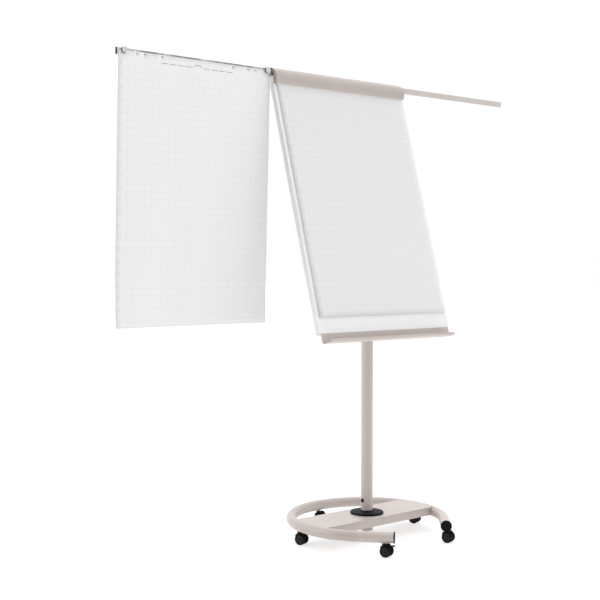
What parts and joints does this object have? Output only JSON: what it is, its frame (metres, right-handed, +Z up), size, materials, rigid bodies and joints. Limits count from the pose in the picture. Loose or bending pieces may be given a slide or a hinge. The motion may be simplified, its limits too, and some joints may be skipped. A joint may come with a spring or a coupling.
{
  "type": "mobile flipchart easel",
  "caption": "Mobile flipchart easel: sloping board with a spring clamp bar, pen tray and slide-out arms on a height-adjustable column with a C-shaped castor base.",
  "frame": {"origin": "on the floor, on the axis of the column, which is the middle of the outline from above to within a few millimetres", "axes": "+Z up; +X along the board's width, to the right when facing the board; -Y is the side that the board faces"},
  "size_m": [2.088, 0.6451, 1.8718],
  "materials": {
    "warm_grey_paint": "satin powder coat",
    "light_grey_paint": "satin powder coat",
    "arm_steel": "satin powder coat",
    "white_enamel": "smooth semi-gloss enamel",
    "grey_backing": "matte",
    "edge_plastic": "satin extruded plastic",
    "board_fibre": "raw honeycomb core",
    "paper": "uncoated paper with a faint printed grid",
    "black_plastic": "satin moulded",
    "grey_plastic": "satin moulded",
    "black_tread": "matte",
    "grip_rubber": "matte",
    "clip_face": "satin",
    "zinc_steel": "zinc plated"
  },
  "bodies": {
    "base": {"base_ring": "warm_grey_paint", "ring_end_caps": "black_plastic", "cross_beam": "warm_grey_paint", "castor_sockets": "zinc_steel", "column_flange": "zinc_steel", "flange_screws": "zinc_steel", "column_collar": "black_plastic", "column_tube": "warm_grey_paint", "column_foot_cap": "grey_plastic", "column_plug": "black_plastic", "column_bush": "black_plastic", "height_clamp": "black_plastic"},
    "clamp_knob": {"clamp_stud": "zinc_steel", "clamp_knob": "black_plastic"},
    "head": {"slide_tube": "light_grey_paint", "head_bracket": "light_grey_paint", "bracket_bolts": "zinc_steel", "bracket_screws": "zinc_steel", "board_core": "board_fibre", "face_sheet": "white_enamel", "back_sheet": "grey_backing", "edge_trim": "edge_plastic", "head_rail": "light_grey_paint", "rail_end_caps": "black_plastic", "clamp_hinge_pin": "zinc_steel", "clamp_springs": "zinc_steel", "pad_hooks": "zinc_steel", "writing_pad": "paper", "pen_tray": "warm_grey_paint", "tray_screws": "zinc_steel"},
    "clamp_bar": {"clamp_bar": "warm_grey_paint", "bar_end_caps": "grey_plastic", "grip_strip": "grip_rubber"},
    "left_arm": {"left_arm": "arm_steel", "left_arm_ends": "black_plastic", "hanging_sheet": "paper", "outer_clip": "clip_face"},
    "inner_clip": {"inner_clip": "clip_face"},
    "right_arm": {"right_arm": "arm_steel", "right_arm_ends": "grey_plastic"},
    "front_left_fork": {"front_left_pin": "zinc_steel", "front_left_hood": "black_plastic"},
    "front_left_wheel_pair": {"front_left_wheels": "black_tread"},
    "front_left_brake_lever": {"front_left_brake": "black_plastic"},
    "front_right_fork": {"front_right_pin": "zinc_steel", "front_right_hood": "black_plastic"},
    "front_right_wheel_pair": {"front_right_wheels": "black_tread"},
    "left_fork": {"left_pin": "zinc_steel", "left_hood": "black_plastic"},
    "left_wheel_pair": {"left_wheels": "black_tread"},
    "right_fork": {"right_pin": "zinc_steel", "right_hood": "black_plastic"},
    "right_wheel_pair": {"right_wheels": "black_tread"},
    "right_brake_lever": {"right_brake": "black_plastic"},
    "back_fork": {"back_pin": "zinc_steel", "back_hood": "black_plastic"},
    "back_wheel_pair": {"back_wheels": "black_tread"}
  },
  "joints": [
    {"name": "head_slide", "type": "slide", "parent": "base", "child": "head", "axis": [0, 0, 1], "range_m": [-0.11, 0.13]},
    {"name": "clamp_knob_turn", "type": "hinge", "parent": "base", "child": "clamp_knob", "pos_m": [0, 0.05, 0.852], "axis": [0, 1, 0], "range_deg": [0, 360]},
    {"name": "clamp_bar_lift", "type": "hinge", "parent": "head", "child": "clamp_bar", "pos_m": [0, 0.21106, 1.85454], "axis": [-1, 0, 0], "range_deg": [0, 50], "stiffness_Nm_per_rad": 1.2, "springref_deg": -34.38},
    {"name": "left_arm_slide", "type": "slide", "parent": "head", "child": "left_arm", "axis": [1, 0, 0], "range_m": [0, 0.6], "deforming": ["hanging_sheet"]},
    {"name": "right_arm_slide", "type": "slide", "parent": "head", "child": "right_arm", "axis": [-1, 0, 0], "range_m": [0, 0.6]},
    {"name": "inner_clip_slide", "type": "slide", "parent": "left_arm", "child": "inner_clip", "axis": [1, 0, 0], "range_m": [-0.6, 0]},
    {"name": "front_left_swivel", "type": "hinge", "parent": "base", "child": "front_left_fork", "pos_m": [-0.16926, -0.27382, 0.064], "axis": [0, 0, 1], "continuous": true},
    {"name": "front_left_roll", "type": "hinge", "parent": "front_left_fork", "child": "front_left_wheel_pair", "pos_m": [-0.16525, -0.28618, 0.022], "axis": [0.9511, 0.309, 0], "continuous": true},
    {"name": "front_left_brake_press", "type": "hinge", "parent": "front_left_fork", "child": "front_left_brake_lever", "pos_m": [-0.16015, -0.30188, 0.0405], "axis": [0.9511, 0.309, 0], "range_deg": [0, 12]},
    {"name": "front_right_swivel", "type": "hinge", "parent": "base", "child": "front_right_fork", "pos_m": [0.16926, -0.27382, 0.064], "axis": [0, 0, 1], "continuous": true},
    {"name": "front_right_roll", "type": "hinge", "parent": "front_right_fork", "child": "front_right_wheel_pair", "pos_m": [0.17328, -0.28618, 0.022], "axis": [0.9511, 0.309, 0], "continuous": true},
    {"name": "left_swivel", "type": "hinge", "parent": "base", "child": "left_fork", "pos_m": [-0.29788, 0.07127, 0.064], "axis": [0, 0, 1], "continuous": true},
    {"name": "left_roll", "type": "hinge", "parent": "left_fork", "child": "left_wheel_pair", "pos_m": [-0.29386, 0.05891, 0.022], "axis": [0.9511, 0.309, 0], "continuous": true},
    {"name": "right_swivel", "type": "hinge", "parent": "base", "child": "right_fork", "pos_m": [0.30363, 0.04238, 0.064], "axis": [0, 0, 1], "continuous": true},
    {"name": "right_roll", "type": "hinge", "parent": "right_fork", "child": "right_wheel_pair", "pos_m": [0.30765, 0.03001, 0.022], "axis": [0.9511, 0.309, 0], "continuous": true},
    {"name": "right_brake_press", "type": "hinge", "parent": "right_fork", "child": "right_brake_lever", "pos_m": [0.31274, 0.01432, 0.0405], "axis": [0.9511, 0.309, 0], "range_deg": [0, 12]},
    {"name": "back_swivel", "type": "hinge", "parent": "base", "child": "back_fork", "pos_m": [0, 0.304, 0.064], "axis": [0, 0, 1], "continuous": true},
    {"name": "back_roll", "type": "hinge", "parent": "back_fork", "child": "back_wheel_pair", "pos_m": [0.00402, 0.29164, 0.022], "axis": [0.9511, 0.309, 0], "continuous": true}
  ],
  "couplings": [
    {"joint": "inner_clip_slide", "follows": "left_arm_slide", "ratio": -1}
  ]
}
